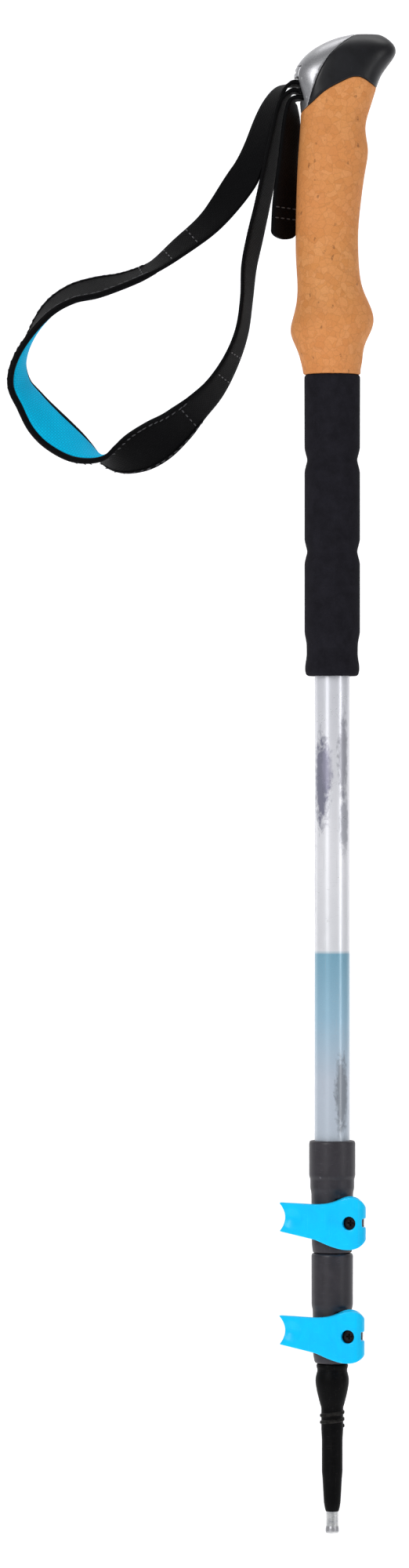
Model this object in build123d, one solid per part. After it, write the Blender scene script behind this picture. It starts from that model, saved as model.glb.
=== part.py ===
from build123d import *
import os
from math import cos, pi, radians, sin

os.makedirs("parts", exist_ok=True)

# A collapsible three-section trekking pole. Millimetres, +Z up, the pole stands on its tip.
# The origin is the bottom centre of the carbide tip. +X is the way the walker faces (the beak
# of the handle), and the wrist strap leaves the handle towards -X. All three sections are
# pushed together, which is how the pole is carried.

# ---- Driving dimensions ----------------------------------------------------------------

# The three tubes
WALL = 0.6                 # aluminium tube wall
UPPER_R, MIDDLE_R, LOWER_R = 8.0, 7.0, 6.0
UPPER_END, UPPER_TOP = 155.0, 640.0
MIDDLE_END, MIDDLE_TOP = 102.0, 612.0
LOWER_END, LOWER_TOP = 34.0, 568.0
SWAGE_TOP, SWAGE_END = 70.0, 60.0      # the lower tube narrows between these heights
SWAGE_R = 3.9
RUNNING = 0.05             # radial clearance of a running fit
BUSH_SPIGOT, BUSH_HEAD = 14.0, 2.5     # guide bush: length in the tube, height of its head

# The cam locks
LOCK_TURN = -13.0          # the ears point this many degrees from +X, towards -Y
UPPER_LOCK_Z, LOWER_LOCK_Z = 141.5, 90.3
UPPER_SCREW_AT, LOWER_SCREW_AT = 11.3, 10.7    # screw line to pole axis
EAR_HALF = 3.6             # both ears and the slit between them, halved
EAR_REACH = 2.9            # ears past the screw line
EAR_HIGH = 14.0
SLIT = 1.2
SCREW_R, SCREW_HEAD_R, SCREW_HEAD = 1.5, 2.5, 2.0
NUT_ACROSS, NUT_THICK, NUT_PROUD = 5.5, 2.4, 0.8
PAD_THICK, PAD_R = 0.6, 5.0            # thrust pad between the cam and the ear
GAP = 0.3                  # clearance between parts that pass each other
CAM_R, CAM_THROW = 6.4, 0.3            # the cam is a disc set off its pivot
BARREL_R, BARREL_LONG = 3.4, 17.0
PIVOT_BACK = EAR_HALF + PAD_THICK + GAP + CAM_THROW + CAM_R    # screw middle to barrel axis
LEVER_FACE = 5.0           # barrel axis to the flat front of the lever
LEVER_BAND = 3.0           # thickness of the curved arm
LEVER_HALF = 12.2          # half height of the lever's head
BAND_INNER_R = 10.1
SIGHT_R = 3.0              # hole in the lever that shows the screw's head
LEVER_OPEN = 95.0          # degrees that the lever opens

# The handle
GRIP_END, FOAM_END = 525.2, 388.5
CORE_R = 10.0
CORE_TOP = 641.5
HEAD_SKIN = 3.0            # soft head and its cap over the hard core
STRAP_PIN_AT = (-7.0, 654.8)
STRAP_PIN_R, STRAP_PIN_HALF = 2.0, 11.0
MOUTH_HALF = 8.3           # half width of the strap's slot
MOUTH_FLOOR, MOUTH_ROOF = 649.0, 664.6
WEDGE_FLOOR, WEDGE_END, WEDGE_BACK = 659.2, -17.4, -9.3
RING_R = 5.3               # sewn loop of webbing round the strap pin

# The strap
WEB, HAND_WEB = 16.0, 22.0             # webbing width at the slot and round the wrist
WEB_THICK, LINING_THICK = 1.8, 1.4
LINING_MARGIN = 2.2                    # webbing that shows beside the lining

# The tip
BOOT_SEAT_R, BOOT_SEAT_LOW, BOOT_SEAT_HIGH = 4.7, 28.0, 42.0
FERRULE_R, FERRULE_TOP = 2.75, 24.0
CARBIDE_TOP, SHANK_R, SHANK_TOP = 3.2, 1.6, 14.0

# Heights, rear and front edges, half depth and squareness of the handle
GRIP_SECTIONS = [
    (525.2, -13.2, 13.1, 13.0, 2.0), (530.0, -14.0, 13.4, 13.5, 2.0), (535.0, -15.4, 14.0, 14.3, 2.0),
    (540.0, -17.5, 15.3, 15.4, 2.0), (545.0, -18.9, 17.6, 16.4, 2.0), (550.0, -18.1, 18.8, 16.6, 2.0),
    (556.0, -16.6, 17.4, 15.5, 2.0),
    (564.0, -15.8, 14.0, 14.2, 2.0), (576.0, -16.4, 12.1, 13.8, 2.05), (589.0, -16.6, 11.8, 14.2, 2.1),
    (604.0, -16.3, 13.1, 14.6, 2.1), (618.0, -15.8, 15.1, 14.8, 2.1), (628.0, -15.2, 16.2, 14.7, 2.1),
    (636.5, -14.6, 15.1, 14.4, 2.2), (646.0, -14.4, 17.1, 14.2, 2.5), (654.0, -15.9, 19.6, 14.3, 2.8),
    (661.0, -17.3, 22.2, 14.2, 2.8), (667.0, -14.6, 26.4, 13.4, 2.6), (671.0, -10.8, 28.7, 12.2, 2.4),
    (674.5, -5.6, 28.1, 10.2, 2.3), (677.4, 0.8, 25.2, 7.2, 2.2), (679.4, 8.6, 21.6, 3.6, 2.0),
]
# Side views (x, z) of the joint lines that divide the handle into cork, head and cap
CORK_LINE = [(-24.0, 636.5), (-14.5, 643.5), (-8.9, 648.0), (-3.0, 653.0), (4.0, 656.8),
             (9.0, 658.9), (13.0, 658.8), (17.0, 656.6), (24.0, 655.4)]
CAP_LINE = [(-12.8, 640.0), (-10.6, 648.5), (-6.2, 661.0), (-0.7, 670.0), (5.0, 675.2), (14.0, 682.0)]

# The strap's route: x, z, turn in degrees about its own run, and width. At a turn of 0 its
# width lies along Y; a positive turn shows the outer face to -Y, a negative one the lining.
# It runs down from the slot, round the wrist and back up to the slot.
STRAP = [
    (-18.6, 657.0, 0, WEB), (-23.6, 654.2, 6, WEB), (-27.2, 648.4, 14, WEB), (-30.4, 640.5, 26, WEB),
    (-34.3, 628.5, 37, WEB), (-37.7, 619.8, 50, WEB), (-42.4, 611.6, 62, WEB), (-54.8, 595.2, 45, WEB),
    (-69.0, 583.2, 34, WEB), (-81.5, 573.8, 20, 17), (-94.0, 568.4, 20, 19), (-106.7, 565.0, 26, 21),
    (-118.1, 562.0, 22, HAND_WEB), (-128.2, 555.5, 16, HAND_WEB), (-136.5, 544.5, 5, HAND_WEB),
    (-142.0, 532.0, -8, HAND_WEB), (-142.0, 521.0, -24, HAND_WEB), (-136.8, 512.4, -34, HAND_WEB),
    (-130.6, 503.9, -46, HAND_WEB), (-123.7, 497.3, -46, HAND_WEB), (-114.5, 490.8, -32, HAND_WEB),
    (-104.5, 486.4, 0, HAND_WEB), (-96.5, 486.9, 30, HAND_WEB), (-87.0, 490.8, 54, HAND_WEB),
    (-79.0, 495.4, 56, HAND_WEB), (-71.0, 501.2, 45, 21), (-62.0, 509.8, 34, 20),
    (-53.2, 519.2, 27, 19), (-45.8, 531.8, 20, 18), (-41.0, 545.0, 18, WEB), (-38.9, 559.5, 17, WEB),
    (-37.8, 574.0, 22, WEB), (-35.2, 587.0, 24, WEB), (-31.8, 602.0, 18, WEB), (-28.0, 620.0, 13, WEB),
    (-24.3, 638.0, 8, WEB), (-22.5, 647.8, 3, WEB), (-18.8, 653.4, 0, WEB),
]
HAND_START, HAND_END = 9, 26           # the wide, lined stretch of the route
STRAP_TAIL = [
    (-11.6, 650.5, 0, WEB), (-16.8, 650.4, 0, WEB), (-18.4, 647.2, -9, WEB), (-18.8, 638.0, -23, WEB),
    (-20.3, 620.0, -32, WEB), (-21.6, 604.0, -40, WEB), (-22.1, 590.0, -43, WEB),
]


# ---- Helpers ---------------------------------------------------------------------------

def save(part, name):
    """Write one sub-part as parts/name.step."""
    export_step(part, f"parts/{name}.step")


def turned(*profile):
    """A solid turned about the pole's axis from (radius, height) points."""
    outline = Polyline(*profile, close=True)
    return revolve(Plane.XZ * make_face(outline), axis=Axis.Z)


def rod(radius, low, high):
    """A round bar on the pole's axis."""
    return Pos(0, 0, low) * Cylinder(radius, high - low, align=(Align.CENTER, Align.CENTER, Align.MIN))


def tube(outer, inner, low, high):
    """A round tube on the pole's axis."""
    return rod(outer, low, high) - rod(inner, low - 1, high + 1)


def side_prism(edges, half=40.0):
    """A side view (x, z) pushed out both ways along Y."""
    return extrude(Plane.XZ * make_face(edges), amount=half, both=True)


def block(x0, x1, y0, y1, z0, z1):
    """A box from its six faces."""
    return Pos((x0 + x1) / 2, (y0 + y1) / 2, (z0 + z1) / 2) * Box(x1 - x0, y1 - y0, z1 - z0)


# ---- Tubes and guide bushes ------------------------------------------------------------

def guide_bush(tube_r, outer_tube_r, top):
    """Nylon bush in the top of a tube. Its head runs on the wall of the tube outside."""
    spigot_r, head_r = tube_r - WALL, outer_tube_r - WALL - RUNNING
    return turned((0, top - BUSH_SPIGOT), (spigot_r - 0.6, top - BUSH_SPIGOT), (spigot_r, top - BUSH_SPIGOT + 1.5),
                  (spigot_r, top), (head_r, top), (head_r, top + BUSH_HEAD - 0.6),
                  (head_r - 0.6, top + BUSH_HEAD), (0, top + BUSH_HEAD))


def lower_tube_outside():
    """The outside of the lower tube, which is swaged down to enter the tip."""
    return [(SWAGE_R, LOWER_END), (SWAGE_R, SWAGE_END), (LOWER_R, SWAGE_TOP), (LOWER_R, LOWER_TOP)]


def lower_shaft():
    outside = lower_tube_outside()
    inside = [(r - WALL, z) for r, z in reversed(outside)]
    return turned(*outside, *inside)


def shaft_plug():
    """Plug that closes the top of the upper tube inside the handle."""
    bore = UPPER_R - WALL
    return turned((0, UPPER_TOP - 12), (bore - 0.8, UPPER_TOP - 12), (bore, UPPER_TOP - 10),
                  (bore, UPPER_TOP), (UPPER_R, UPPER_TOP), (UPPER_R, CORE_TOP), (0, CORE_TOP))


# ---- Tip -------------------------------------------------------------------------------

def flex_tip():
    """Moulded tip over the swaged tube, with the basket's thread and a seat for a rubber boot."""
    thread = []
    for crest in (55.2, 52.0, 48.8):
        thread += [(5.0, crest + 1.1), (5.6, crest + 0.4), (5.6, crest - 0.4), (5.0, crest - 1.1)]
    outside = [(6.8, 76.8), (7.2, 76.2), (6.8, 74.3), (6.8, 73.4), (7.5, 70.6), (7.6, 69.2), (7.5, 67.4),
               (6.9, 64.0), (5.5, 58.4), (5.1, 57.2), *thread, (4.9, 45.4), (BOOT_SEAT_R, BOOT_SEAT_HIGH),
               (BOOT_SEAT_R, BOOT_SEAT_LOW), (4.4, 24.5), (4.0, 17.0), (3.8, 13.9), (3.4, 11.4),
               (3.0, 10.0), (FERRULE_R, 9.6)]
    shell = turned((0, 76.8), *outside, (0, 9.6))
    socket = turned((0, LOWER_END), *lower_tube_outside()[:3], (LOWER_R, 80), (0, 80))
    return shell - socket - rod(FERRULE_R, 0, FERRULE_TOP)


def tip_ferrule():
    """Steel sleeve moulded into the tip, which holds the carbide."""
    body = turned((0, CARBIDE_TOP), (FERRULE_R, CARBIDE_TOP), (FERRULE_R, FERRULE_TOP - 1),
                  (FERRULE_R - 1, FERRULE_TOP), (0, FERRULE_TOP))
    return body - rod(SHANK_R, 0, SHANK_TOP)


def carbide_tip():
    """Hollow-ground carbide crown on a shank."""
    return turned((0, 1.1), (1.5, 0.8), (2.5, 0), (2.8, 0.1), (3.05, 0.9), (2.95, 2.2), (FERRULE_R, CARBIDE_TOP),
                  (SHANK_R, CARBIDE_TOP), (SHANK_R, SHANK_TOP), (0, SHANK_TOP))


# ---- Cam locks -------------------------------------------------------------------------
# Each is drawn with its ears along +X and its screw along Y, then turned and lifted.

def in_place(part, lock_z):
    return Pos(0, 0, lock_z) * Rot(0, 0, LOCK_TURN) * part


def cross_rod(radius, x, y0, y1):
    """A round bar along Y at height 0."""
    return Pos(x, y1, 0) * Rot(90, 0, 0) * Cylinder(radius, y1 - y0, align=(Align.CENTER, Align.CENTER, Align.MIN))


def upright(radius, x, y, half):
    """A round bar along Z about height 0."""
    return Pos(x, y, 0) * Cylinder(radius, 2 * half)


def hex_nut(screw_at, slack=0.0):
    """The hexagonal nut in the far ear, or with slack the pocket for it."""
    across = NUT_ACROSS / 2 + slack
    prism = extrude(Rot(0, 0, 30) * RegularPolygon(across, 6, major_radius=False), amount=NUT_THICK)
    return Pos(screw_at, EAR_HALF + NUT_PROUD - NUT_THICK, 0) * Rot(-90, 0, 0) * prism


def lock_body(lock_z, outside, seat_r, seat_z, grip_r, screw_at):
    """Collar bonded to the outer tube above, split clamp round the inner tube below."""
    low, high = outside[0][1], outside[-1][1]
    collar = turned((0, low), *outside, (0, high))
    ears = block(0, screw_at + EAR_REACH, -EAR_HALF, EAR_HALF, -EAR_HIGH / 2, EAR_HIGH / 2)
    ears = fillet(ears.edges().filter_by(Axis.Y).group_by(Axis.X)[-1], 3.0)
    slit_top = EAR_HIGH / 2 + 2.0
    slit = block(0, 30, -SLIT / 2, SLIT / 2, low - lock_z - 1, slit_top)
    relief = block(3, 30, -30, 30, slit_top, slit_top + SLIT)
    holes = cross_rod(SCREW_R + 0.1, screw_at, -30, 30) + hex_nut(screw_at, slack=0.02)
    swing = upright(CAM_R + CAM_THROW + GAP, screw_at, -PIVOT_BACK, LEVER_HALF + GAP)
    clamp = Pos(0, 0, lock_z) * Rot(0, 0, LOCK_TURN)
    body = collar + clamp * ears
    body -= rod(seat_r, seat_z, high + 1) + rod(grip_r + RUNNING, low - 1, high + 1)
    return body - clamp * slit - clamp * relief - clamp * holes - clamp * swing


def lock_screw(screw_at):
    head_low = -PIVOT_BACK - 2.2
    head = cross_rod(SCREW_HEAD_R, screw_at, head_low, head_low + SCREW_HEAD)
    shank = cross_rod(SCREW_R, screw_at, head_low, EAR_HALF + NUT_PROUD)
    driver = Pos(screw_at, head_low, 0) * (Box(0.7, 2.0, 2.8) + Box(2.8, 2.0, 0.7))
    return head + shank - driver


def lock_nut(screw_at):
    return hex_nut(screw_at) - cross_rod(SCREW_R, screw_at, -30, 30)


def lock_barrel(screw_at):
    """Upright cross barrel: the lever turns on it and the screw's head sits in it."""
    barrel = upright(BARREL_R, screw_at, -PIVOT_BACK, BARREL_LONG / 2)
    barrel = chamfer(barrel.edges(), 0.4)
    head_seat = -PIVOT_BACK - 2.2 + SCREW_HEAD
    hole = cross_rod(SCREW_R, screw_at, -30, 30) + cross_rod(SCREW_HEAD_R, screw_at, -30, head_seat)
    return barrel - hole


def lock_pad(screw_at):
    """Acetal thrust pad that the cam rubs on."""
    pad = cross_rod(PAD_R, screw_at, -EAR_HALF - PAD_THICK, -EAR_HALF)
    pad &= block(screw_at - 1.9, screw_at + EAR_REACH, -30, 0, -PAD_R, PAD_R)
    return pad - cross_rod(SCREW_R + 0.1, screw_at, -30, 30)


def lever_plan(screw_at):
    """The lever from above: cam disc, curved arm that hugs the clamp, and thumb tab."""
    cam = Pos(screw_at, CAM_THROW - PIVOT_BACK) * Circle(CAM_R)
    cam -= Pos(screw_at, -PIVOT_BACK - LEVER_FACE - 10) * Rectangle(60, 20)
    outer_r = BAND_INNER_R + LEVER_BAND
    face_y = -PIVOT_BACK - LEVER_FACE
    leave = radians(-101)                  # where the tab leaves the arm
    along = (sin(leave), -cos(leave))
    reach = 21.0
    hug = (outer_r * cos(leave), outer_r * sin(leave))
    tip = (hug[0] + reach * along[0], hug[1] + reach * along[1])
    inner = (BAND_INNER_R * cos(leave), BAND_INNER_R * sin(leave))
    inner_tip = (inner[0] + reach * along[0], inner[1] + reach * along[1])
    face_end, swell = (screw_at - 3.0, face_y), (3.2, -14.6)
    web = make_face([Spline(face_end, swell, hug, tangents=[(-1, 0), along]), Line(hug, tip),
                     Line(tip, inner_tip), Line(inner_tip, inner),
                     Polyline(inner, (0, 0), (screw_at, -PIVOT_BACK), (screw_at, face_y), face_end)])
    return cam + (web - Circle(BAND_INNER_R))


def lever_side():
    """The lever's side view (x, z): a round head that narrows to a forked tail."""
    head = [(-7.5, 8.1), (0.5, 9.4), (5.5, 11.3), (10.5, 11.2), (14.5, 7.8), (16.2, 0.2),
            (14.5, -8.4), (10.0, -11.6), (4.5, -12.0), (-1.5, -10.6), (-8.0, -8.0)]
    tail_high, tail_low, notch = (-24.4, 8.6), (-24.0, -4.6), (-21.4, 1.9)
    return make_face([Spline(*head, tangents=[(1, 0.05), (-1, 0.4)]), Line(head[-1], tail_low),
                      Spline(tail_low, notch, tail_high), Line(tail_high, head[0])])


def lever(lock_z, screw_at):
    plan = extrude(lever_plan(screw_at), amount=15, both=True)
    body = Rot(0, 0, LOCK_TURN) * plan
    body &= extrude(Plane.XZ * lever_side(), amount=40, both=True)
    turn = Rot(0, 0, LOCK_TURN)
    bore = upright(BARREL_R + RUNNING, screw_at, -PIVOT_BACK, 20)
    sight = cross_rod(SIGHT_R, screw_at - 0.3, -40, -PIVOT_BACK)
    shank_half = SCREW_R + 0.4
    swing = block(screw_at - shank_half, screw_at + 10, -PIVOT_BACK - 0.8 - shank_half, 0,
                  -shank_half, shank_half)
    return Pos(0, 0, lock_z) * (body - turn * bore - turn * sight - turn * swing)


# ---- Handle ----------------------------------------------------------------------------

def grip_section(height, rear, front, depth, square, inset=0.0):
    """A rounded section of the handle: a superellipse, squarer towards the head."""
    middle, half, deep = (front + rear) / 2, (front - rear) / 2 - inset, depth - inset
    points = []
    for step in range(24):
        angle = 2 * pi * step / 24
        c, s = cos(angle), sin(angle)
        x = half * abs(c) ** (2 / square) * (1 if c >= 0 else -1)
        y = deep * abs(s) ** (2 / square) * (1 if s >= 0 else -1)
        points.append((middle + x, y, height))
    return Wire([Spline(*points, periodic=True)])


def grip_form(inset=0.0):
    """The whole handle outside, or inset, the hard core under the head."""
    return Solid.make_loft([grip_section(*row, inset=inset) for row in GRIP_SECTIONS])


def above_cork():
    line = CORK_LINE
    return side_prism([Spline(*line), Polyline(line[-1], (50, 655.4), (50, 700), (-50, 700), (-50, 636.5), line[0])])


def behind_cap_line():
    line = CAP_LINE
    return side_prism([Spline(*line), Polyline(line[-1], (14, 700), (-50, 700), (-50, 640), line[0])])


def mouth():
    """The slot in the back of the head for the strap, its pin and its wedge."""
    x, z = STRAP_PIN_AT
    step_up, wedge_stop = WEDGE_FLOOR + 1.4, WEDGE_BACK + GAP
    outline = make_face(Polyline((-40, MOUTH_FLOOR), (x, MOUTH_FLOOR), (x, step_up), (wedge_stop, step_up),
                                 (wedge_stop, MOUTH_ROOF), (-40, MOUTH_ROOF), close=True))
    outline += Pos(x, z) * Circle(RING_R + 0.9)
    return extrude(Plane.XZ * outline, amount=MOUTH_HALF, both=True)


def strap_pin(radius=STRAP_PIN_R):
    x, z = STRAP_PIN_AT
    return Pos(x, 0, z) * Rot(90, 0, 0) * Cylinder(radius, 2 * STRAP_PIN_HALF)


def grip_core():
    """Hard plastic core: a sleeve on the tube and a block inside the head."""
    head = grip_form(HEAD_SKIN) & block(-40, 40, -40, 40, CORE_TOP, 676)
    sleeve = tube(CORE_R, UPPER_R, GRIP_END + 0.4, CORE_TOP)
    return head + sleeve - mouth() - strap_pin()


def cork_grip(form, core_space):
    return form - above_cork() - core_space - rod(CORE_R, 500, CORE_TOP) - mouth()


def grip_head(form, core_space):
    return (form & above_cork()) - behind_cap_line() - core_space - mouth() - strap_pin()


def head_cap(form, core_space):
    return (form & above_cork() & behind_cap_line()) - core_space - mouth() - strap_pin()


def foam_grip():
    """Foam sleeve with two finger grooves and a rolled hem."""
    groove = [(12.6, 491.5), (11.9, 488.8), (11.3, 486.5), (11.9, 484.2), (12.6, 481.5)]
    second = [(r, z - 41.5) for r, z in groove]
    return turned((UPPER_R, GRIP_END), (12.4, GRIP_END), (12.7, GRIP_END - 1.2), *groove, *second,
                  (12.6, 408.0), (11.7, 403.5), (11.6, 398.0), (12.3, 393.5), (12.4, 391.0), (11.9, 389.2),
                  (11.2, FOAM_END), (UPPER_R, FOAM_END))


def strap_wedge(form):
    """Plastic wedge that pinches the strap in its slot. Its end follows the head's outside, and a lip
    there takes a fingernail."""
    half = MOUTH_HALF - GAP
    body = block(WEDGE_END, WEDGE_BACK, -half, half, WEDGE_FLOOR, MOUTH_ROOF - GAP)
    body &= side_prism([Polyline((WEDGE_END, 670), (WEDGE_END, WEDGE_FLOOR), (WEDGE_BACK, WEDGE_FLOOR + 1.6),
                                 (WEDGE_BACK, 670), close=True)])
    return (body & form) - block(WEDGE_END - 1, WEDGE_END + 1.6, -half + 2.5, half - 2.5, 661.4, 662.8)


# ---- Strap -----------------------------------------------------------------------------

def strap_frames(route):
    """Place, outward and sideways directions at each point of a strap route."""
    frames = []
    for i, (x, z, turn, width) in enumerate(route):
        x0, z0 = route[max(i - 1, 0)][:2]
        x1, z1 = route[min(i + 1, len(route) - 1)][:2]
        run = Vector(x1 - x0, 0, z1 - z0).normalized()
        out, side = Vector(run.Z, 0, -run.X), Vector(0, 1, 0)
        c, s = cos(radians(turn)), sin(radians(turn))
        frames.append((Vector(x, 0, z), out * c - side * s, side * c + out * s, width))
    return frames


def strip(frames, thick, rise=0.0, margin=0.0):
    """A flat band along part of a strap route, lofted straight from section to section."""
    sections = []
    for place, out, side, width in frames:
        middle, half = place + out * rise, side * (width / 2 - margin)
        low, high = middle - out * (thick / 2), middle + out * (thick / 2)
        sections.append(Wire(Polyline(low - half, low + half, high + half, high - half, close=True).edges()))
    return Solid.make_loft(sections, ruled=True)


def strap_anchor():
    """The sewn end of the webbing: a loop round the pin and two plies that reach the slot."""
    x, z = STRAP_PIN_AT
    ring = Pos(x, 0, z) * Rot(90, 0, 0) * (Cylinder(RING_R, WEB) - Cylinder(STRAP_PIN_R, WEB + 2))
    plies = block(-15.4, x, -WEB / 2, WEB / 2, 656.1, 657.9) + block(-15.4, x, -WEB / 2, WEB / 2, 652.6, 654.4)
    ends = ring + (plies - Pos(x, 0, z) * Rot(90, 0, 0) * Cylinder(4.0, WEB + 2))
    return ends - block(-40, 0, -20, 20, 640, 651.7)


# ---- Build -----------------------------------------------------------------------------

upper_lock_outside = [(8.4, 127.0), (8.9, 127.6), (9.3, 131.0), (9.5, 154.0), (10.0, 156.5), (10.0, 160.5),
                      (10.5, 162.0), (10.5, 177.2), (9.9, 178.0)]
lower_lock_outside = [(7.6, 77.0), (8.1, 77.8), (8.7, 81.0), (8.9, 101.0), (9.4, 103.5), (9.45, 126.2),
                      (8.9, 126.85)]

save(tube(UPPER_R, UPPER_R - WALL, UPPER_END, UPPER_TOP), "upper_shaft")
save(tube(MIDDLE_R, MIDDLE_R - WALL, MIDDLE_END, MIDDLE_TOP), "middle_shaft")
save(lower_shaft(), "lower_shaft")
save(guide_bush(MIDDLE_R, UPPER_R, MIDDLE_TOP), "middle_bush")
save(guide_bush(LOWER_R, MIDDLE_R, LOWER_TOP), "lower_bush")
save(shaft_plug(), "shaft_plug")
save(flex_tip(), "flex_tip")
save(tip_ferrule(), "tip_ferrule")
save(carbide_tip(), "carbide_tip")

locks = [("upper", UPPER_LOCK_Z, upper_lock_outside, UPPER_R, UPPER_END, MIDDLE_R, UPPER_SCREW_AT),
         ("lower", LOWER_LOCK_Z, lower_lock_outside, MIDDLE_R, MIDDLE_END, LOWER_R, LOWER_SCREW_AT)]
for which, lock_z, outside, seat_r, seat_z, grip_r, screw_at in locks:
    save(lock_body(lock_z, outside, seat_r, seat_z, grip_r, screw_at), f"{which}_lock_body")
    save(in_place(lock_screw(screw_at), lock_z), f"{which}_lock_screw")
    save(in_place(lock_nut(screw_at), lock_z), f"{which}_lock_nut")
    save(in_place(lock_barrel(screw_at), lock_z), f"{which}_lock_barrel")
    save(in_place(lock_pad(screw_at), lock_z), f"{which}_lock_pad")
    save(lever(lock_z, screw_at), f"{which}_lever")

grip = grip_form()
core_under_head = grip_form(HEAD_SKIN) & block(-40, 40, -40, 40, CORE_TOP, 676)
save(grip_core(), "grip_core")
save(cork_grip(grip, core_under_head), "cork_grip")
save(grip_head(grip, core_under_head), "grip_head")
save(head_cap(grip, core_under_head), "head_cap")
save(foam_grip(), "foam_grip")
save(strap_pin(), "strap_pin")
save(strap_wedge(grip), "strap_wedge")

save(strap_anchor(), "strap_anchor")
loop = strap_frames(STRAP)
lining_rise = -(WEB_THICK + LINING_THICK) / 2
save(strip(loop[:HAND_START + 1], WEB_THICK), "strap_down")
save(strip(loop[HAND_START:HAND_END + 1], WEB_THICK), "strap_hand")
save(strip(loop[HAND_END:], WEB_THICK), "strap_up")
save(strip(loop[HAND_START + 1:HAND_END + 1], LINING_THICK, lining_rise, LINING_MARGIN), "strap_lining")
save(strip(strap_frames(STRAP_TAIL), WEB_THICK), "strap_tail")
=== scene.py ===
# %% [markdown]
# # A trekking pole with flip locks, a cork grip and a wrist strap
# This lesson dresses a finished CAD model. The CAD holds every size and every joint, and it is never
# moved here. Blender adds what CAD is poor at: cork, foam, woven webbing, sewn thread, soft moulded edges
# and surfaces that catch the light the way the real ones do. Each cell builds one piece or one finish.

# %% Load the frame
from math import cos, pi, radians, sin, sqrt, tau
from types import SimpleNamespace

import bmesh
import bpy
from mathutils import Matrix, Vector


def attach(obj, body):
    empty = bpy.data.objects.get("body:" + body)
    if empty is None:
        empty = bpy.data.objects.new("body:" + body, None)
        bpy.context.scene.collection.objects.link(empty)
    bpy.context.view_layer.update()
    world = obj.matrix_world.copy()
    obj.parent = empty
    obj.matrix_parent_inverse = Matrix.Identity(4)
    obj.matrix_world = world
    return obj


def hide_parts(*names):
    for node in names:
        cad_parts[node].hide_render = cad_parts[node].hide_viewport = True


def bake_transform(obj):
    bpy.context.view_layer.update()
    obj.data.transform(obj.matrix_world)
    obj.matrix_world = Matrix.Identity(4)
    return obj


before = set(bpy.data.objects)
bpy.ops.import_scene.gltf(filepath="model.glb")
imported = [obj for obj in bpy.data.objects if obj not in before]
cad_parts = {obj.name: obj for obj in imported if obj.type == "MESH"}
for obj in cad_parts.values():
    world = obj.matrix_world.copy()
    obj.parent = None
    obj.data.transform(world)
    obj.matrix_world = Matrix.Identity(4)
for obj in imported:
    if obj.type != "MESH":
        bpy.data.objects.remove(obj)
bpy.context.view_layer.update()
MM = 0.001

# %% [markdown]
# ## Camera
# The pole is seen square on from the side. A long lens from far away keeps the perspective gentle, so
# the grip and the tip are seen at the same angle. The distance follows from the height of the view:
# the lens is to the sensor as the distance is to the view.

# %% Camera
VIEW_HIGH = 0.7112
VIEW_MIDDLE = Vector((-0.05796, 0.0, 0.3396))
LENS, SENSOR = 150.0, 36.0

camera_data = bpy.data.cameras.new("camera")
camera_data.lens = LENS
camera_data.sensor_width = SENSOR
camera_data.clip_end = 50.0
camera = bpy.data.objects.new("camera", camera_data)
camera.location = VIEW_MIDDLE - Vector((0, VIEW_HIGH * LENS / SENSOR, 0))
camera.rotation_euler = (pi / 2, 0, 0)
bpy.context.scene.collection.objects.link(camera)
bpy.context.scene.camera = camera
bpy.context.scene.view_settings.view_transform = "Standard"
print("camera stands", round(-camera.location.y, 3), "m in front of the pole")

# %% [markdown]
# ## Nodes with less typing
# A material is a small network. Wiring it by hand takes a line for every link, so a few helpers make a
# node, set its values and link its inputs in one call. Colours are given as they look on a screen and
# turned into the linear light that the renderer works with.


# %% Node helpers
def srgb(red, green, blue):
    """A screen colour, 0 to 255, as the linear colour that a socket takes."""
    def one(value):
        value /= 255
        return value / 12.92 if value <= 0.04045 else ((value + 0.055) / 1.055) ** 2.4
    return (one(red), one(green), one(blue), 1.0)


def grey(value):
    """A linear grey."""
    return (value, value, value, 1.0)


def add(tree, kind, inputs=None, **settings):
    """A new node. Inputs given as sockets are linked, and other inputs are set."""
    made = tree.nodes.new(kind)
    for key, value in settings.items():
        setattr(made, key, value)
    for key, value in (inputs or {}).items():
        if isinstance(value, bpy.types.NodeSocket):
            tree.links.new(value, made.inputs[key])
        else:
            made.inputs[key].default_value = value
    return made


def maths(tree, operation, *values, clamp=False):
    """The result of a Math node."""
    made = add(tree, "ShaderNodeMath", dict(enumerate(values)), operation=operation, use_clamp=clamp)
    return made.outputs[0]


def noise(tree, vector, scale, detail=3.0, roughness=0.55, distortion=0.0):
    """The grey of a Noise Texture."""
    return add(tree, "ShaderNodeTexNoise", {"Vector": vector, "Scale": scale, "Detail": detail,
                                            "Roughness": roughness, "Distortion": distortion}).outputs["Fac"]


def ramp(tree, factor, *stops):
    """The colour of a Color Ramp with (place, colour) stops."""
    made = add(tree, "ShaderNodeValToRGB", {"Fac": factor})
    elements = made.color_ramp.elements
    while len(elements) < len(stops):
        elements.new(0.5)
    for element, (place, colour) in zip(elements, stops):
        element.position = place
        element.color = colour
    return made.outputs["Color"]


def level(tree, value, low, high, to_low=0.0, to_high=1.0):
    """A value's range mapped to another range, and clamped there."""
    inputs = {"Value": value, "From Min": low, "From Max": high, "To Min": to_low, "To Max": to_high}
    return add(tree, "ShaderNodeMapRange", inputs).outputs["Result"]


def mix(tree, factor, first, second, blend="MIX"):
    """Two colours mixed."""
    made = add(tree, "ShaderNodeMix", {0: factor, 6: first, 7: second}, data_type="RGBA", blend_type=blend)
    return made.outputs[2]


def squeezed(tree, vector, scale):
    """A vector scaled by a Mapping node."""
    return add(tree, "ShaderNodeMapping", {"Vector": vector, "Scale": scale}).outputs["Vector"]


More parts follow.
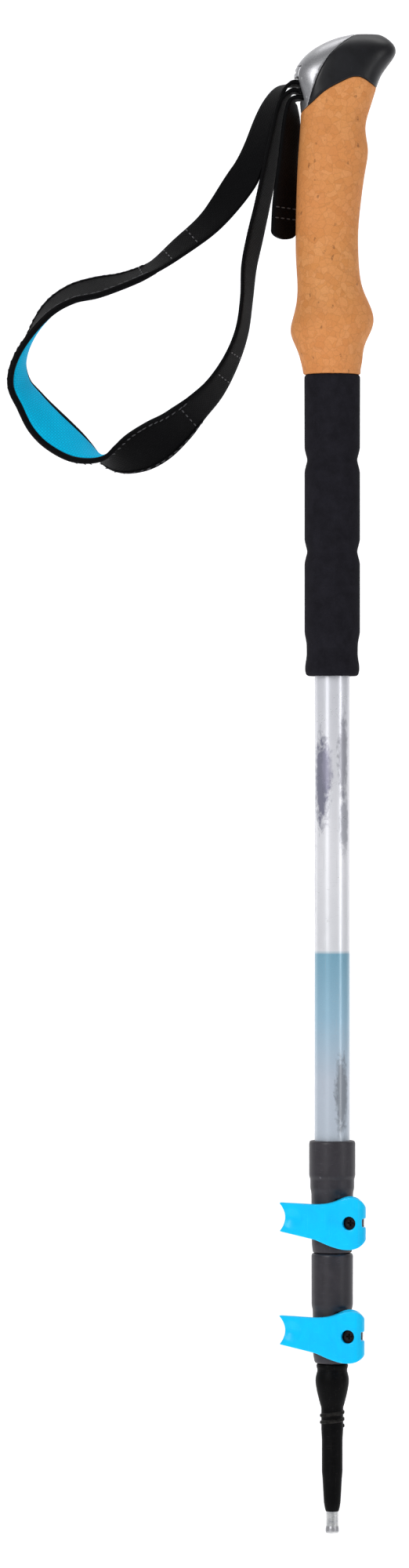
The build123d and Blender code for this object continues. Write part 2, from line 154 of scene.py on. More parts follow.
def new_material(name, **sockets):
    """A material and its parts: the tree, the shader and object coordinates."""
    material = bpy.data.materials.new(name)
    material.use_nodes = True
    tree = material.node_tree
    shader = tree.nodes["Principled BSDF"]
    for key, value in sockets.items():
        shader.inputs[key.replace("_", " ")].default_value = value
    place = add(tree, "ShaderNodeTexCoord").outputs["Object"]
    return SimpleNamespace(material=material, tree=tree, shader=shader, place=place)


def feed(look, socket, value):
    """Links a colour or value to one of the shader's sockets."""
    look.tree.links.new(value, look.shader.inputs[socket])


def bump(look, height, strength, depth):
    """Feeds a height to the shader's Normal. The depth is in millimetres."""
    made = add(look.tree, "ShaderNodeBump", {"Height": height, "Strength": strength, "Distance": depth * MM})
    feed(look, "Normal", made.outputs["Normal"])


# %% [markdown]
# ## Floor, wall and lamps
# A pale sweep is a floor that curves up into a wall, so there is no horizon line. It is one edge,
# extruded across the room. The floor lies low enough for the pole to open fully above it, so at rest the
# pole hangs clear of it. The paper is clear from its back. Three soft lamps do the work of a product
# studio: a tall key lamp at the front left, a fill at the right and a strip overhead that separates the
# pole from the wall.

# %% Sweep
SWEEP_HALF, SWEEP_FRONT, SWEEP_BACK, SWEEP_BEND, SWEEP_HIGH = 7.0, -2.6, 2.2, 1.0, 6.0
SWEEP_FLOOR = -0.75
PAPER_GLOW = 0.45


def studio_sweep():
    """A floor that curves up into a wall, its faces turned to the pole."""
    bm = bmesh.new()
    ends = [bm.verts.new((x, SWEEP_FRONT, SWEEP_FLOOR)) for x in (-SWEEP_HALF, SWEEP_HALF)]
    edge = bm.edges.new(ends)
    curve = [(SWEEP_BACK + SWEEP_BEND * sin(a), SWEEP_FLOOR + SWEEP_BEND * (1 - cos(a)))
             for a in [radians(10 * step) for step in range(10)]]
    for y, z in curve + [(SWEEP_BACK + SWEEP_BEND, SWEEP_HIGH)]:
        grown = bmesh.ops.extrude_edge_only(bm, edges=[edge])["geom"]
        edge = next(part for part in grown if isinstance(part, bmesh.types.BMEdge))
        for vert in edge.verts:
            vert.co.y, vert.co.z = y, z
    bmesh.ops.recalc_face_normals(bm, faces=bm.faces)
    bm.faces.ensure_lookup_table()
    if bm.faces[0].normal.z < 0:
        bmesh.ops.reverse_faces(bm, faces=bm.faces)
    mesh = bpy.data.meshes.new("sweep")
    bm.to_mesh(mesh)
    bm.free()
    mesh.shade_smooth()
    made = bpy.data.objects.new("sweep", mesh)
    bpy.context.scene.collection.objects.link(made)
    return made


paper = new_material("sweep_paper", Base_Color=srgb(248, 248, 248), Roughness=0.95, Specular_IOR_Level=0.1,
                     Emission_Color=srgb(250, 250, 252), Emission_Strength=PAPER_GLOW)
bump(paper, noise(paper.tree, paper.place, 60.0, 4.0), 0.05, 0.4)
behind = add(paper.tree, "ShaderNodeNewGeometry").outputs["Backfacing"]
clear = add(paper.tree, "ShaderNodeBsdfTransparent").outputs[0]
either = add(paper.tree, "ShaderNodeMixShader", {0: behind, 1: paper.shader.outputs[0], 2: clear}).outputs[0]
paper.tree.links.new(either, paper.tree.nodes["Material Output"].inputs["Surface"])
sweep = studio_sweep()
sweep.data.materials.append(paper.material)
print("sweep faces:", len(sweep.data.polygons))


# %% Lamps
# The sky is brighter to the camera than the light it gives, which keeps the backdrop white.
def soft_lamp(name, place, aim, wide, high, power):
    """A rectangular area lamp that looks at a point."""
    data = bpy.data.lights.new(name, "AREA")
    data.shape = "RECTANGLE"
    data.size, data.size_y = wide, high
    data.energy = power
    lamp = bpy.data.objects.new(name, data)
    lamp.location = place
    lamp.rotation_euler = (Vector(aim) - Vector(place)).to_track_quat("-Z", "Y").to_euler()
    bpy.context.scene.collection.objects.link(lamp)


SKY_LIGHT, SKY_SEEN = 0.36, 1.0
soft_lamp("key", (-1.3, -1.9, 1.3), (-0.02, 0, 0.35), 0.7, 1.6, 30)
soft_lamp("fill", (1.7, -1.2, 0.8), (0, 0, 0.35), 0.5, 1.6, 9)
soft_lamp("top", (0.1, 0.4, 2.0), (0, 0, 0.3), 1.6, 0.7, 10)

world = bpy.data.worlds.new("studio")
bpy.context.scene.world = world
world.use_nodes = True
sky = world.node_tree.nodes["Background"].inputs
sky["Color"].default_value = srgb(250, 251, 252)
seen = add(world.node_tree, "ShaderNodeLightPath").outputs["Is Camera Ray"]
world.node_tree.links.new(level(world.node_tree, seen, 0.0, 1.0, SKY_LIGHT, SKY_SEEN), sky["Strength"])

# %% [markdown]
# ## Shared effects
# Some effects return on many finishes: the grain of a mould, the smudges of use, paler worn edges and
# the crossing threads of cloth. Each is one node group, built once and placed with its own values, so a
# change to the group changes every finish that uses it.

# %% An empty group with named sockets
FLOAT, VECTOR = "NodeSocketFloat", "NodeSocketVector"


def effect(name, inputs, outputs):
    """A node group with named inputs (name, kind, value) and grey outputs."""
    group = bpy.data.node_groups.new(name, "ShaderNodeTree")
    for label, kind, value in inputs:
        socket = group.interface.new_socket(label, in_out="INPUT", socket_type=kind)
        if value is not None:
            socket.default_value = value
    for label in outputs:
        group.interface.new_socket(label, in_out="OUTPUT", socket_type=FLOAT)
    return group, add(group, "NodeGroupInput").outputs, add(group, "NodeGroupOutput").inputs


def use(look, group, **values):
    """Places a node group in a material, on object coordinates, and returns its outputs."""
    inputs = {"Vector": look.place}
    inputs.update({key.replace("_", " "): value for key, value in values.items()})
    return add(look.tree, "ShaderNodeGroup", inputs, node_tree=group).outputs


# %% Group: mould grain
# A fine leather-like grain for the height, and broad smudges that make the gloss uneven.
mould_grain, given, result = effect("mould grain", [("Vector", VECTOR, None), ("Grain size", FLOAT, 1500.0),
                                                    ("Smudge size", FLOAT, 90.0)], ["Height", "Smudge"])
soft_grain = noise(mould_grain, given["Vector"], given["Grain size"], 3.0, 0.6)
pebbles = add(mould_grain, "ShaderNodeTexVoronoi", {"Vector": given["Vector"], "Scale": given["Grain size"]})
soft_part = maths(mould_grain, "MULTIPLY", soft_grain, 0.6)
pebble_part = maths(mould_grain, "MULTIPLY", pebbles.outputs["Distance"], 0.5)
smudges = noise(mould_grain, given["Vector"], given["Smudge size"], 5.0, 0.7, 0.6)
mould_grain.links.new(maths(mould_grain, "ADD", soft_part, pebble_part), result["Height"])
mould_grain.links.new(smudges, result["Smudge"])

# %% Group: worn edges
# Pointiness is high on outward edges. Noise breaks it up, because wear is never an even line.
worn_edge, given, result = effect("worn edge", [("Vector", VECTOR, None), ("Start", FLOAT, 0.53),
                                                ("End", FLOAT, 0.6), ("Patch size", FLOAT, 260.0)], ["Edge"])
pointed = level(worn_edge, add(worn_edge, "ShaderNodeNewGeometry").outputs["Pointiness"],
                given["Start"], given["End"])
patches = level(worn_edge, noise(worn_edge, given["Vector"], given["Patch size"], 4.0, 0.7), 0.35, 0.65)
worn_edge.links.new(maths(worn_edge, "MULTIPLY", pointed, patches), result["Edge"])

# %% Group: scratches
# Long thin hairs: noise squeezed hard along one direction, of which only the peaks are kept.
hairlines, given, result = effect("hairlines", [("Vector", VECTOR, None), ("Density", FLOAT, 0.3)], ["Hair"])
first_way = noise(hairlines, squeezed(hairlines, given["Vector"], (2400, 2400, 60)), 1.0, 2.0)
second_way = noise(hairlines, squeezed(hairlines, given["Vector"], (300, 300, 3600)), 1.0, 2.0)
peaks = [level(hairlines, way, 0.66, 0.74) for way in (first_way, second_way)]
hairlines.links.new(maths(hairlines, "MULTIPLY", maths(hairlines, "MAXIMUM", *peaks), given["Density"]),
                    result["Hair"])

# %% Group: plain weave
# The vector is in metres: X across the cloth and Y along it. A thread's top is a rounded wave. Where the
# warp thread passes over, it stands high, and at the next crossing the weft does.
weave, given, result = effect("plain weave", [("Vector", VECTOR, None), ("Across", FLOAT, 0.001),
                                              ("Along", FLOAT, 0.0007)], ["Height", "Warp over"])
flat = add(weave, "ShaderNodeSeparateXYZ", {"Vector": given["Vector"]}).outputs


def thread(position, pitch):
    """The rounded top of each thread, and whether its number is odd."""
    number = maths(weave, "ADD", maths(weave, "DIVIDE", position, pitch), 2000.0)
    rounded = maths(weave, "ABSOLUTE", maths(weave, "SINE", maths(weave, "MULTIPLY", number, pi)))
    return rounded, maths(weave, "MODULO", maths(weave, "FLOOR", number), 2.0)


warp, warp_odd = thread(flat["X"], given["Across"])
weft, weft_odd = thread(flat["Y"], given["Along"])
warp_over = maths(weave, "ABSOLUTE", maths(weave, "SUBTRACT", warp_odd, weft_odd))
warp_high = maths(weave, "MULTIPLY", warp, level(weave, warp_over, 0, 1, 0.45, 1.0))
weft_high = maths(weave, "MULTIPLY", weft, level(weave, warp_over, 0, 1, 0.9, 0.4))
weave.links.new(maths(weave, "MAXIMUM", warp_high, weft_high), result["Height"])
weave.links.new(warp_over, result["Warp over"])
print("groups:", [group.name for group in bpy.data.node_groups])

# %% [markdown]
# ## Finishes
# ### Moulded plastics
# The locks, levers, head and tip are all moulded, but no two the same: the levers are glossy, the locks
# are glass-filled and dull, and the head is soft to the touch. One recipe makes them all: a base colour
# that drifts a little, grain, smudges in the gloss, and edges worn a shade lighter.


# %% One recipe for moulded plastics
def moulded(name, base, drift, edge, gloss, grain, depth, wear=(0.53, 0.6), hair=0.0, **sockets):
    """A plastic: base and drift colours, worn edge colour, low and high roughness, grain size and depth."""
    look = new_material(name, **sockets)
    tree = look.tree
    skin = use(look, mould_grain, Grain_size=grain)
    worn = use(look, worn_edge, Start=wear[0], End=wear[1])["Edge"]
    scratch = use(look, hairlines, Density=hair)["Hair"]
    colour = mix(tree, level(tree, skin["Smudge"], 0.35, 0.7), base, drift)
    feed(look, "Base Color", mix(tree, maths(tree, "MAXIMUM", worn, scratch), colour, edge))
    rough = level(tree, skin["Smudge"], 0.3, 0.7, gloss[0], gloss[1])
    feed(look, "Roughness", maths(tree, "ADD", rough, maths(tree, "MULTIPLY", scratch, 0.2), clamp=True))
    bump(look, maths(tree, "SUBTRACT", skin["Height"], maths(tree, "MULTIPLY", scratch, 0.5)), 0.35, depth)
    return look.material


lever_blue = moulded("lever_blue", srgb(0, 203, 255), srgb(0, 190, 250), srgb(70, 222, 255), (0.3, 0.42),
                     1400.0, 0.015, hair=0.25, Coat_Weight=0.08, Coat_Roughness=0.12, Specular_IOR_Level=0.15)
lock_grey = moulded("lock_grey", srgb(43, 41, 46), srgb(53, 50, 56), srgb(96, 94, 102), (0.34, 0.46), 2100.0,
                    0.03, hair=0.3, Specular_IOR_Level=0.35)
head_black = moulded("head_black", srgb(14, 14, 17), srgb(20, 21, 26), srgb(60, 62, 70), (0.34, 0.46), 1700.0,
                     0.03, wear=(0.54, 0.64), hair=0.15, Specular_IOR_Level=0.3)
tip_black = moulded("tip_black", srgb(3, 3, 4), srgb(7, 7, 8), srgb(52, 50, 48), (0.4, 0.55), 1800.0,
                    0.03, wear=(0.53, 0.62), hair=0.5, Specular_IOR_Level=0.07)
core_black = moulded("core_black", srgb(34, 34, 36), srgb(40, 40, 42), srgb(70, 70, 72), (0.45, 0.6),
                     1500.0, 0.02)
nylon = moulded("nylon", srgb(214, 212, 200), srgb(202, 199, 186), srgb(232, 231, 224), (0.3, 0.45),
                1200.0, 0.02)

# %% Silver paint on the cap
# The paint holds fine metal flakes. Each flake tilts a little differently, so the gloss sparkles softly.
cap = new_material("cap_silver", Metallic=0.75, Coat_Weight=0.35, Coat_Roughness=0.18)
flake = add(cap.tree, "ShaderNodeTexVoronoi", {"Vector": cap.place, "Scale": 5200.0}).outputs["Color"]
flake_grey = add(cap.tree, "ShaderNodeSeparateColor", {"Color": flake}).outputs[0]
skin = use(cap, mould_grain, Grain_size=2400.0)
worn = use(cap, worn_edge)["Edge"]
paint = ramp(cap.tree, flake_grey, (0.0, srgb(136, 136, 139)), (1.0, srgb(166, 166, 169)))
feed(cap, "Base Color", mix(cap.tree, worn, paint, srgb(196, 196, 198)))
feed(cap, "Roughness", level(cap.tree, skin["Smudge"], 0.3, 0.7, 0.32, 0.44))
bump(cap, flake_grey, 0.15, 0.004)


# %% [markdown]
# ### Metals
# Turned and drawn metal shows the way it was made: rings or long lines left by the tool, seen as a
# stretched noise in the gloss. The inner tubes are anodised graphite and carry the marks that a walker
# sets the length by: a short tick each centimetre, a long one each five, and a stop ring at the end.

# %% Steel, blackened steel and carbide
BARE_EDGE = srgb(236, 236, 234)


def machined(name, dark, pale, gloss, squeeze, metallic=1.0, depth=0.006, edge=BARE_EDGE, **sockets):
    """A metal with tool lines: two colours, roughness range, the lines' squeeze and the worn edge."""
    look = new_material(name, Metallic=metallic, **sockets)
    lines = noise(look.tree, squeezed(look.tree, look.place, squeeze), 1.0, 4.0, 0.7)
    worn = use(look, worn_edge, Start=0.52, End=0.58)["Edge"]
    colour = mix(look.tree, lines, dark, pale)
    feed(look, "Base Color", mix(look.tree, worn, colour, edge))
    feed(look, "Roughness", level(look.tree, lines, 0.3, 0.7, *gloss))
    bump(look, lines, 0.3, depth)
    return look.material


steel = machined("steel", srgb(176, 178, 182), srgb(208, 210, 214), (0.22, 0.4), (300, 300, 5000))
black_steel = machined("black_steel", srgb(9, 8, 9), srgb(17, 15, 16), (0.4, 0.58), (1800, 1800, 1800), 0.0,
                       edge=srgb(44, 42, 43), Specular_IOR_Level=0.12)
carbide = machined("carbide", srgb(150, 150, 154), srgb(190, 190, 194), (0.3, 0.55),
                   (2600, 2600, 2600), 0.9, 0.02)

# %% Anodised tube with its scale
TICK_EVERY, LONG_TICK_EVERY, TICK_THICK = 0.01, 0.05, 0.0007
TICK_HALF, LONG_TICK_HALF = 0.30, 0.62
RING_HALF = 0.0015


def anodised(name, scale_low, scale_high):
    """Graphite anodised tube with a pale scale between two heights and a pale stop ring on top."""
    look = new_material(name, Metallic=1.0)
    tree = look.tree
    parts = add(tree, "ShaderNodeSeparateXYZ", {"Vector": look.place}).outputs
    to_front = maths(tree, "MULTIPLY", parts["Y"], -1.0)
    turn = maths(tree, "ABSOLUTE", maths(tree, "ARCTAN2", parts["X"], to_front))

    def ticks(every, half):
        number = maths(tree, "DIVIDE", parts["Z"], every)
        near = maths(tree, "ABSOLUTE", maths(tree, "SUBTRACT", number, maths(tree, "ROUND", number)))
        on_line = maths(tree, "LESS_THAN", near, TICK_THICK / 2 / every)
        return maths(tree, "MULTIPLY", on_line, maths(tree, "LESS_THAN", turn, half))

    scale = maths(tree, "MAXIMUM", ticks(TICK_EVERY, TICK_HALF), ticks(LONG_TICK_EVERY, LONG_TICK_HALF))
    scale = maths(tree, "MULTIPLY", scale, maths(tree, "GREATER_THAN", parts["Z"], scale_low))
    scale = maths(tree, "MULTIPLY", scale, maths(tree, "LESS_THAN", parts["Z"], scale_high))
    from_ring = maths(tree, "ABSOLUTE", maths(tree, "SUBTRACT", parts["Z"], scale_high))
    ring = maths(tree, "LESS_THAN", from_ring, RING_HALF)
    print_mask = maths(tree, "MAXIMUM", scale, ring)
    drawn = noise(tree, squeezed(tree, look.place, (1500, 1500, 40)), 1.0, 4.0, 0.7)
    hair = use(look, hairlines, Density=0.5)["Hair"]
    colour = mix(tree, drawn, srgb(48, 49, 54), srgb(66, 67, 73))
    colour = mix(tree, hair, colour, srgb(110, 112, 118))
    feed(look, "Base Color", mix(tree, print_mask, colour, srgb(214, 215, 218)))
    feed(look, "Metallic", maths(tree, "SUBTRACT", 1.0, print_mask))
    feed(look, "Roughness", level(tree, drawn, 0.3, 0.7, 0.28, 0.42))
    bump(look, drawn, 0.2, 0.004)
    return look.material


middle_metal = anodised("middle_metal", 0.16, 0.472)
lower_metal = anodised("lower_metal", 0.11, 0.422)

# %% [markdown]
# ### The printed tube
# The upper tube is lacquered silver white, with a soft print: grey ridges fading into mist, a white
# middle, and a blue band with a crisp upper edge that pales towards the lock. The print is laid out flat,
# in metres round the tube and up it, as it would be on the printer's sheet, and any pattern of this kind
# can be drawn so. A clear coat over it gives the sharp highlight.

# %% Printed lacquer
UPPER_TUBE_R = 0.008
PRINT_LOW, PRINT_HIGH = 0.170, 0.400
print_look = new_material("printed_lacquer", Coat_Weight=0.55, Coat_Roughness=0.07, Metallic=0.0)
tree = print_look.tree
parts = add(tree, "ShaderNodeSeparateXYZ", {"Vector": print_look.place}).outputs
turn = maths(tree, "ARCTAN2", parts["X"], maths(tree, "MULTIPLY", parts["Y"], -1.0))
around = maths(tree, "MULTIPLY", turn, UPPER_TUBE_R)
sheet_place = add(tree, "ShaderNodeCombineXYZ", {"X": around, "Y": parts["Z"]}).outputs["Vector"]


def at(height):
    """A height on the tube as a place on the print's colour ramp."""
    return (height - PRINT_LOW) / (PRINT_HIGH - PRINT_LOW)


bands = ramp(tree, level(tree, parts["Z"], PRINT_LOW, PRINT_HIGH),
             (0.0, srgb(180, 190, 202)), (at(0.205), srgb(180, 190, 204)), (at(0.234), srgb(144, 180, 202)),
             (at(0.2626), srgb(118, 164, 186)), (at(0.2640), srgb(222, 223, 228)),
             (at(0.305), srgb(232, 232, 237)), (at(0.38), srgb(212, 213, 220)))


def misty_ridge(colour, centre, size, shade, amount):
    """A ragged patch of a shade, densest in its middle, like a far ridge in mist."""
    offset = add(tree, "ShaderNodeVectorMath", {0: sheet_place, 1: centre}, operation="SUBTRACT").outputs[0]
    spread = add(tree, "ShaderNodeVectorMath", {0: offset, 1: size}, operation="DIVIDE").outputs[0]
    far = add(tree, "ShaderNodeVectorMath", {0: spread}, operation="LENGTH").outputs["Value"]
    ragged = noise(tree, squeezed(tree, sheet_place, (1.0, 0.6, 1.0)), 420.0, 6.0, 0.65, 0.4)
    edge = maths(tree, "ADD", far, maths(tree, "MULTIPLY", maths(tree, "SUBTRACT", ragged, 0.5), 1.5))
    return mix(tree, level(tree, edge, 1.05, 0.6, 0.0, amount), colour, shade)


ridges = [((-0.0056, 0.341, 0), (0.0050, 0.023, 1), srgb(92, 92, 116), 0.85),
          ((-0.0026, 0.346, 0), (0.0030, 0.012, 1), srgb(150, 148, 168), 0.6),
          ((0.0052, 0.352, 0), (0.0032, 0.022, 1), srgb(118, 118, 130), 0.7),
          ((0.0060, 0.322, 0), (0.0032, 0.015, 1), srgb(128, 130, 142), 0.65),
          ((0.0046, 0.199, 0), (0.0038, 0.020, 1), srgb(112, 118, 126), 0.8),
          ((-0.0150, 0.300, 0), (0.0060, 0.040, 1), srgb(156, 156, 172), 0.5),
          ((0.0170, 0.240, 0), (0.0050, 0.050, 1), srgb(158, 164, 180), 0.45),
          ((0.0230, 0.340, 0), (0.0070, 0.030, 1), srgb(150, 148, 166), 0.55)]
colour = bands
for ridge in ridges:
    colour = misty_ridge(colour, *ridge)
fine_flake = noise(tree, print_look.place, 4200.0, 1.0)
hair = use(print_look, hairlines, Density=0.35)["Hair"]
colour = mix(tree, level(tree, fine_flake, 0.4, 0.6, 0.0, 0.06), colour, grey(1.0), "OVERLAY")
feed(print_look, "Base Color", mix(tree, hair, colour, srgb(176, 178, 184)))
smudge = use(print_look, mould_grain)["Smudge"]
feed(print_look, "Roughness", level(tree, smudge, 0.3, 0.7, 0.26, 0.38))
feed(print_look, "Metallic", level(tree, parts["Z"], 0.262, 0.266, 0.15, 0.32))
bump(print_look, maths(tree, "SUBTRACT", fine_flake, hair), 0.12, 0.006)
print("print runs from", PRINT_LOW, "to", PRINT_HIGH, "m up the tube")

# %% [markdown]
# ### Cork
# Grip cork is agglomerate: granules of two to four millimetres pressed and glued into a block, then
# turned and sanded. Every granule has its own tan, thin darker glue lines run between them, and the
# bark's pores show as dark flecks and small pits. Voronoi cells make the granules, bent by noise so that
# none has straight sides.

# %% Cork
cork = new_material("cork", Specular_IOR_Level=0.35)
tree = cork.tree
bend = add(tree, "ShaderNodeTexNoise", {"Vector": cork.place, "Scale": 260.0, "Detail": 2.0}).outputs["Color"]
bend = add(tree, "ShaderNodeVectorMath", {0: bend, 1: (0.5, 0.5, 0.5)}, operation="SUBTRACT").outputs[0]
bend = add(tree, "ShaderNodeVectorMath", {0: bend, "Scale": 0.0028}, operation="SCALE").outputs[0]
bent = add(tree, "ShaderNodeVectorMath", {0: cork.place, 1: bend}, operation="ADD").outputs[0]
GRANULES, FLECKS = 330.0, 380.0         # cells in a metre
granule = add(tree, "ShaderNodeTexVoronoi", {"Vector": bent, "Scale": GRANULES}).outputs["Color"]
granule = add(tree, "ShaderNodeSeparateColor", {"Color": granule}).outputs
edges = add(tree, "ShaderNodeTexVoronoi", {"Vector": bent, "Scale": GRANULES}, feature="DISTANCE_TO_EDGE")
seam = level(tree, edges.outputs[0], 0.0, 0.07, 1.0, 0.0)
tan = ramp(tree, granule[0], (0.0, srgb(201, 131, 70)), (0.3, srgb(207, 138, 76)), (0.65, srgb(211, 143, 82)),
           (1.0, srgb(215, 149, 90)))
broad = noise(tree, cork.place, 30.0, 3.0)
tan = mix(tree, level(tree, broad, 0.35, 0.65, 0.0, 0.45), tan, srgb(216, 136, 76))
fine = noise(tree, cork.place, 1500.0, 4.0, 0.7)
tan = mix(tree, level(tree, fine, 0.45, 0.7, 0.0, 0.35), tan, srgb(176, 110, 60))
tan = mix(tree, maths(tree, "MULTIPLY", seam, 0.28), tan, srgb(150, 92, 48))
long_bent = squeezed(tree, bent, (1.0, 1.0, 0.55))
fleck_field = add(tree, "ShaderNodeTexVoronoi", {"Vector": long_bent, "Scale": FLECKS})
fleck_pick = add(tree, "ShaderNodeSeparateColor", {"Color": fleck_field.outputs["Color"]}).outputs[1]
fleck = level(tree, fleck_field.outputs["Distance"], 0.16, 0.26, 1.0, 0.0)
fleck = maths(tree, "MULTIPLY", fleck, level(tree, fleck_pick, 0.74, 0.80))
fleck = maths(tree, "MULTIPLY", fleck, level(tree, fine, 0.38, 0.52))
feed(cork, "Base Color", mix(tree, maths(tree, "MULTIPLY", fleck, 0.6), tan, srgb(112, 66, 36)))
feed(cork, "Roughness", level(tree, granule[1], 0.0, 1.0, 0.62, 0.82))
dips = maths(tree, "ADD", maths(tree, "MULTIPLY", seam, 0.35), fleck)
bump(cork, maths(tree, "SUBTRACT", maths(tree, "MULTIPLY", fine, 0.35), dips), 0.5, 0.12)

# %% [markdown]
# ### Foam
# The lower sleeve is closed-cell EVA foam, cut on a lathe and sanded. It is matt and charcoal, with tiny
# open cells where the knife passed and faint rings from the turning.

# %% Foam
foam = new_material("foam", Specular_IOR_Level=0.06)
tree = foam.tree
open_cells = add(tree, "ShaderNodeTexVoronoi", {"Vector": foam.place, "Scale": 2100.0}).outputs["Distance"]
cloud = noise(tree, foam.place, 170.0, 5.0, 0.7)
rings = noise(tree, squeezed(tree, foam.place, (60, 60, 2600)), 1.0, 3.0, 0.6)
shade = mix(tree, level(tree, cloud, 0.35, 0.65), srgb(24, 23, 28), srgb(33, 32, 38))
# Painted shade: the open cells, which the bump makes into pits, are also painted darker.
feed(foam, "Base Color", mix(tree, level(tree, open_cells, 0.0, 0.35, 0.6, 0.0), shade, srgb(15, 15, 17)))
feed(foam, "Roughness", level(tree, cloud, 0.3, 0.7, 0.78, 0.92))
bump(foam, maths(tree, "ADD", open_cells, maths(tree, "MULTIPLY", rings, 0.35)), 0.6, 0.08)

# %% [markdown]
# ### Webbing, padding and thread
# The strap is black polyester webbing, its padded part is lined with a blue knit, and all is sewn with
# bonded thread. Cloth needs a pattern that follows it round every bend, so these read the piece's own UV
# map, which is in metres: across the strap and along it.


# %% Cloth on a UV map in metres
def cloth(name, dark, pale, across, along, depth, roughness, uv=True, **sockets):
    """A woven finish: a colour for the painted shade in the gaps between threads, which a random cloud also
    mixes in, a colour for the threads' tops, and thread pitches in metres.
    """
    look = new_material(name, **sockets)
    tree = look.tree
    if uv:
        look.place = add(tree, "ShaderNodeUVMap", uv_map="metres").outputs["UV"]
    else:
        turned = add(tree, "ShaderNodeMapping", {"Vector": look.place, "Rotation": (0, 0, pi / 2)})
        look.place = turned.outputs[0]
    threads = use(look, weave, Across=across, Along=along)
    fuzz = noise(tree, look.place, 5200.0, 3.0, 0.7)
    cloud = noise(tree, look.place, 120.0, 4.0)
    # Painted shade: the colour follows the weave's height, so the gaps between threads are darker and the
    # thread tops paler.
    lit = level(tree, threads["Height"], 0.35, 1.0)
    colour = mix(tree, lit, dark, pale)
    colour = mix(tree, level(tree, cloud, 0.35, 0.65, 0.0, 0.3), colour, dark)
    feed(look, "Base Color", mix(tree, level(tree, threads["Warp over"], 0, 1, 0.0, 0.12), colour, pale))
    feed(look, "Roughness", level(tree, fuzz, 0.3, 0.7, roughness - 0.08, roughness + 0.08))
    bump(look, maths(tree, "ADD", threads["Height"], maths(tree, "MULTIPLY", fuzz, 0.3)), 0.7, depth)
    return look.material


# In each cloth the first colour is the painted shade in the gaps between threads, and the second is the
# threads' tops.
WEBBING = (srgb(1, 1, 2), srgb(9, 9, 11), 0.0011, 0.0008, 0.16, 0.62)
webbing = cloth("webbing", *WEBBING, Specular_IOR_Level=0.06)
hidden_webbing = cloth("hidden_webbing", *WEBBING, uv=False, Specular_IOR_Level=0.06)
binding_tape = cloth("binding_tape", srgb(1, 1, 2), srgb(7, 7, 9), 0.0006, 0.0009, 0.08, 0.55,
                     Specular_IOR_Level=0.06)
lining_knit = cloth("lining_knit", srgb(0, 160, 206), srgb(0, 200, 242), 0.0013, 0.0010, 0.22, 0.7,
                    Specular_IOR_Level=0.08)

# %% Thread
thread_look = new_material("sewing_thread", Sheen_Weight=0.2)
twist = noise(thread_look.tree, thread_look.place, 4200.0, 2.0)
thread_colour = ramp(thread_look.tree, twist, (0.3, srgb(26, 26, 29)), (0.7, srgb(52, 52, 58)))
feed(thread_look, "Base Color", thread_colour)
feed(thread_look, "Roughness", level(thread_look.tree, twist, 0.3, 0.7, 0.45, 0.65))
bump(thread_look, twist, 0.5, 0.03)
print("materials:", len(bpy.data.materials))

# %% [markdown]
# ## Pieces
# A moulded piece starts from its CAD shape, because its fit is already right. The CAD mesh is loose
# triangles, so a copy of it is merged first. A voxel remesh then turns it into one even skin of small
# quads, and smoothing rolls the crisp CAD edges over as a mould or a sanding belt would. The alternative,
# a bevel on every edge, would need clean quads that a CAD mesh does not have.


# %% Mesh helpers
def piece(name, bm, material, body, sharp=None, outward=True):
    """Turns a bmesh into a finished piece. It rides on a CAD body when one is given."""
    if outward:
        bmesh.ops.recalc_face_normals(bm, faces=bm.faces)
    mesh = bpy.data.meshes.new(name)
    bm.to_mesh(mesh)
    bm.free()
    made = bpy.data.objects.new(name, mesh)
    bpy.context.scene.collection.objects.link(made)
    mesh.shade_smooth()
    if sharp is not None:
        mesh.set_sharp_from_angle(angle=radians(sharp))
    mesh.materials.append(material)
    if body:
        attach(made, body)
    print(name, "faces:", len(mesh.polygons))
    return made


def settle(made):
    """Applies a piece's modifiers to its mesh."""
    bpy.context.view_layer.update()
    finished = made.evaluated_get(bpy.context.evaluated_depsgraph_get())
    mesh = bpy.data.meshes.new_from_object(finished)
    made.modifiers.clear()
    made.data = mesh
    mesh.shade_smooth()
    print(made.name, "settled at", len(mesh.polygons), "faces")


def soft_copy(node, material, body, voxel, rounds):
    """A CAD node's shape as one even skin, its edges rolled over. The voxel is in millimetres."""
    bm = bmesh.new()
    bm.from_mesh(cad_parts[node].data)
    bmesh.ops.remove_doubles(bm, verts=bm.verts, dist=2e-6)
    made = piece(node + "_skin", bm, material, body, outward=False)
    remesh = made.modifiers.new("remesh", "REMESH")
    remesh.mode = "VOXEL"
    remesh.voxel_size = voxel * MM
    smooth = made.modifiers.new("smooth", "SMOOTH")
    smooth.factor = 0.5
    smooth.iterations = rounds
    settle(made)
    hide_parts(node)
    return made


def dress(material, *nodes):
    """Gives CAD nodes, whose shape is right as it is, their material."""
    for node in nodes:
        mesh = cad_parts[node].data
        mesh.materials.clear()
        mesh.materials.append(material)
        mesh.shade_smooth()
        mesh.set_sharp_from_angle(angle=radians(30))


# %% [markdown]
# ## Handle
# The cork is turned to fit a hand: a palm swell, a shelf under the fingers and a flared ring. The head is
# a soft rubber moulding with a beak, and a silver cap wraps its crown and the back, where the strap comes
# out. Each is its own skin, so a fine shadow line shows where they meet.

# %% Cork, head and cap
soft_copy("cork_grip", cork.material, "handle", 0.6, 6)
soft_copy("grip_head", head_black, "handle", 0.45, 8)
soft_copy("head_cap", cap.material, "handle", 0.4, 6)
soft_copy("strap_wedge", cap.material, "wedge", 0.3, 4)
soft_copy("foam_grip", foam.material, "handle", 0.7, 6)

# %% [markdown]
# ## Locks and levers
# Each lock is a collar and a split clamp in one moulding, and a blue cam lever. The lever's thumb tab has
# a shallow dish where the thumb pulls. It is pressed in by moving the skin's points near the tab's end
# inwards, most at the middle of the dish and fading to nothing at its rim.

